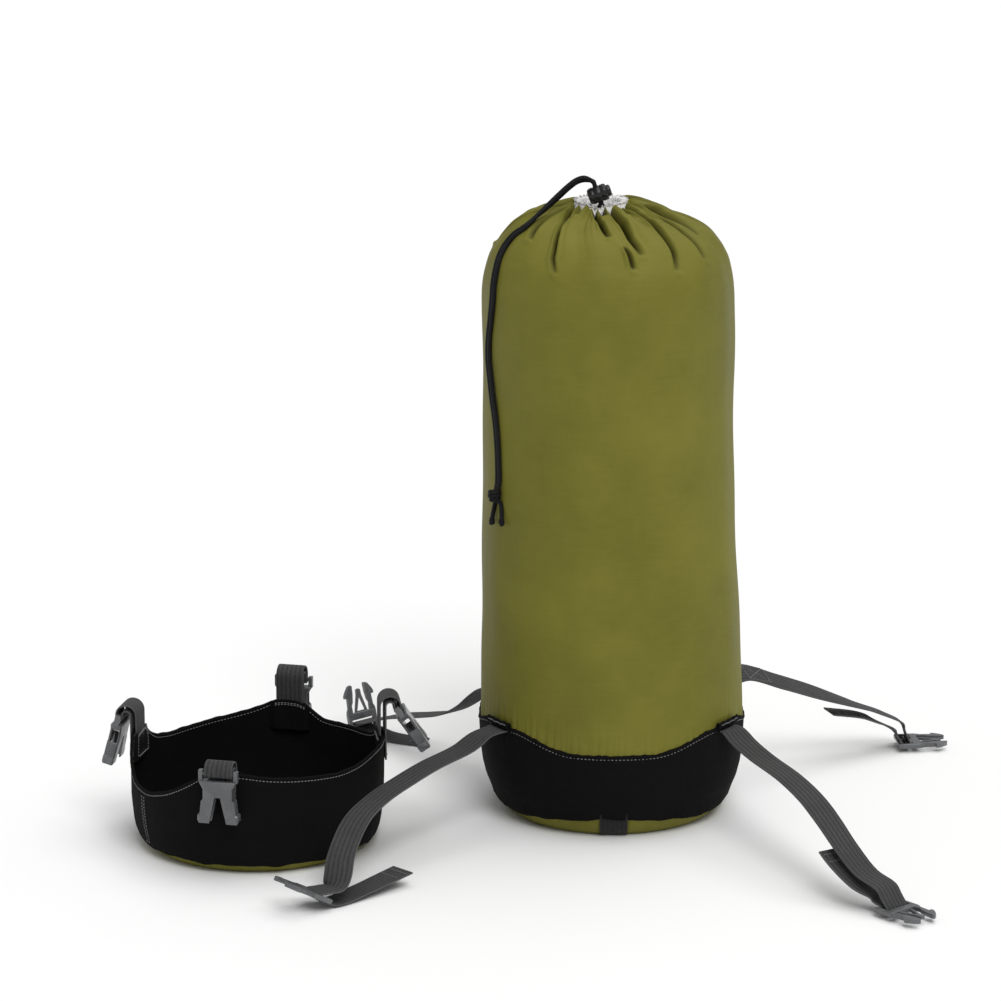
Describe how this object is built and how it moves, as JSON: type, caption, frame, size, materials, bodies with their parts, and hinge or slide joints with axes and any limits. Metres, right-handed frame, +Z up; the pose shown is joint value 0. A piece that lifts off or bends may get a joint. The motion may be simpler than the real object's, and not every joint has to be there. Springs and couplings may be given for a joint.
{
  "type": "compression sack",
  "caption": "Tall round drawcord sack with a banded base, webbing straps ending in male side-release buckles, and a loose scalloped lid with female buckles.",
  "frame": {"origin": "the middle of the sack's base, on the surface that it stands on", "axes": "+Z up the sack's axis, -Y out of its front, +X to the right seen from the front; the lid lies on the -X side"},
  "size_m": [0.7748, 0.5667, 0.5833],
  "materials": {
    "olive_nylon": "satin coated ripstop nylon",
    "black_nylon": "matt woven nylon",
    "pale_lining": "pale coated cloth",
    "cord_black": "braided cord",
    "lock_black": "moulded plastic",
    "spring_steel": "spring wire",
    "webbing_grey": "ribbed woven webbing",
    "buckle_grey": "moulded acetal"
  },
  "bodies": {
    "bag": {"body_panel": "olive_nylon", "bottom_panel": "olive_nylon", "grab_web": "webbing_grey", "base_band": "black_nylon", "drawcord_hem": "pale_lining", "drawcord_loop": "cord_black", "cord_tail_a": "cord_black", "cord_tail_b": "cord_black", "cord_knot": "cord_black", "cord_end_a": "cord_black", "cord_end_b": "cord_black"},
    "cord_lock": {"cord_lock_body": "lock_black", "cord_lock_spring": "spring_steel"},
    "lock_plunger": {"cord_lock_plunger": "lock_black"},
    "strap_front_left": {"strap_front_left": "webbing_grey"},
    "male_front_left": {"male_buckle_front_left": "buckle_grey"},
    "strap_front_right": {"strap_front_right": "webbing_grey"},
    "male_front_right": {"male_buckle_front_right": "buckle_grey"},
    "strap_back_right": {"strap_back_right": "webbing_grey"},
    "male_back_right": {"male_buckle_back_right": "buckle_grey"},
    "strap_back_left": {"strap_back_left": "webbing_grey"},
    "male_back_left": {"male_buckle_back_left": "buckle_grey"},
    "lid": {"lid_top_panel": "olive_nylon", "lid_wall": "black_nylon", "lid_loop_front": "webbing_grey", "lid_loop_right": "webbing_grey", "lid_loop_back": "webbing_grey", "lid_loop_left": "webbing_grey"},
    "female_front": {"female_buckle_front": "buckle_grey"},
    "female_right": {"female_buckle_right": "buckle_grey"},
    "female_back": {"female_buckle_back": "buckle_grey"},
    "female_left": {"female_buckle_left": "buckle_grey"}
  },
  "joints": [
    {"name": "cord_lock_slide", "type": "slide", "parent": "bag", "child": "cord_lock", "axis": [-0.342, 0, 0.9397], "range_m": [0, 0.002]},
    {"name": "lock_plunger_press", "type": "slide", "parent": "cord_lock", "child": "lock_plunger", "axis": [-0.9397, 0, -0.342], "range_m": [0, 0.0025], "stiffness_N_per_m": 300, "springref_m": -0.0005},
    {"name": "strap_front_left_swing", "type": "hinge", "parent": "bag", "child": "strap_front_left", "pos_m": [-0.1011, -0.06566, 0.091], "axis": [-0.5446, 0.8387, 0], "range_deg": [0, 75]},
    {"name": "male_front_left_tilt", "type": "hinge", "parent": "strap_front_left", "child": "male_front_left", "pos_m": [-0.259, -0.285, 0.012], "axis": [0.5299, -0.848, 0], "range_deg": [0, 12]},
    {"name": "strap_front_right_swing", "type": "hinge", "parent": "bag", "child": "strap_front_right", "pos_m": [0.1011, -0.06566, 0.091], "axis": [-0.5446, -0.8387, 0], "range_deg": [0, 75]},
    {"name": "male_front_right_tilt", "type": "hinge", "parent": "strap_front_right", "child": "male_front_right", "pos_m": [0.235, -0.304, 0.0064], "axis": [-0.7431, -0.6691, 0], "range_deg": [0, 12]},
    {"name": "strap_back_right_swing", "type": "hinge", "parent": "bag", "child": "strap_back_right", "pos_m": [0.1011, 0.06566, 0.091], "axis": [0.5446, -0.8387, 0], "range_deg": [0, 65]},
    {"name": "male_back_right_tilt", "type": "hinge", "parent": "strap_back_right", "child": "male_back_right", "pos_m": [0.28, 0.161, 0.0064], "axis": [0.1045, -0.9945, 0], "range_deg": [0, 12]},
    {"name": "strap_back_left_swing", "type": "hinge", "parent": "bag", "child": "strap_back_left", "pos_m": [-0.1011, 0.06566, 0.091], "axis": [0.5446, 0.8387, 0], "range_deg": [0, 75]},
    {"name": "male_back_left_tilt", "type": "hinge", "parent": "strap_back_left", "child": "male_back_left", "pos_m": [-0.231, 0.209, 0.0086], "axis": [-0.7431, -0.6691, 0], "range_deg": [0, 12]},
    {"name": "lid_lift", "type": "slide", "parent": "bag", "child": "lid", "axis": [0, 0, 1], "range_m": [0, 0.15]},
    {"name": "female_front_swing", "type": "hinge", "parent": "lid", "child": "female_front", "pos_m": [-0.34389, -0.21882, 0.098], "axis": [-0.9744, 0.225, 0], "range_deg": [-4, 95]},
    {"name": "female_right_swing", "type": "hinge", "parent": "lid", "child": "female_right", "pos_m": [-0.19268, -0.08504, 0.118], "axis": [0.1045, -0.9945, 0], "range_deg": [0, 60]},
    {"name": "female_back_swing", "type": "hinge", "parent": "lid", "child": "female_back", "pos_m": [-0.28811, 0.02282, 0.11], "axis": [0.9744, -0.225, 0], "range_deg": [-4, 95]},
    {"name": "female_left_swing", "type": "hinge", "parent": "lid", "child": "female_left", "pos_m": [-0.43682, -0.07011, 0.106], "axis": [0.225, 0.9744, 0], "range_deg": [0, 80]}
  ]
}
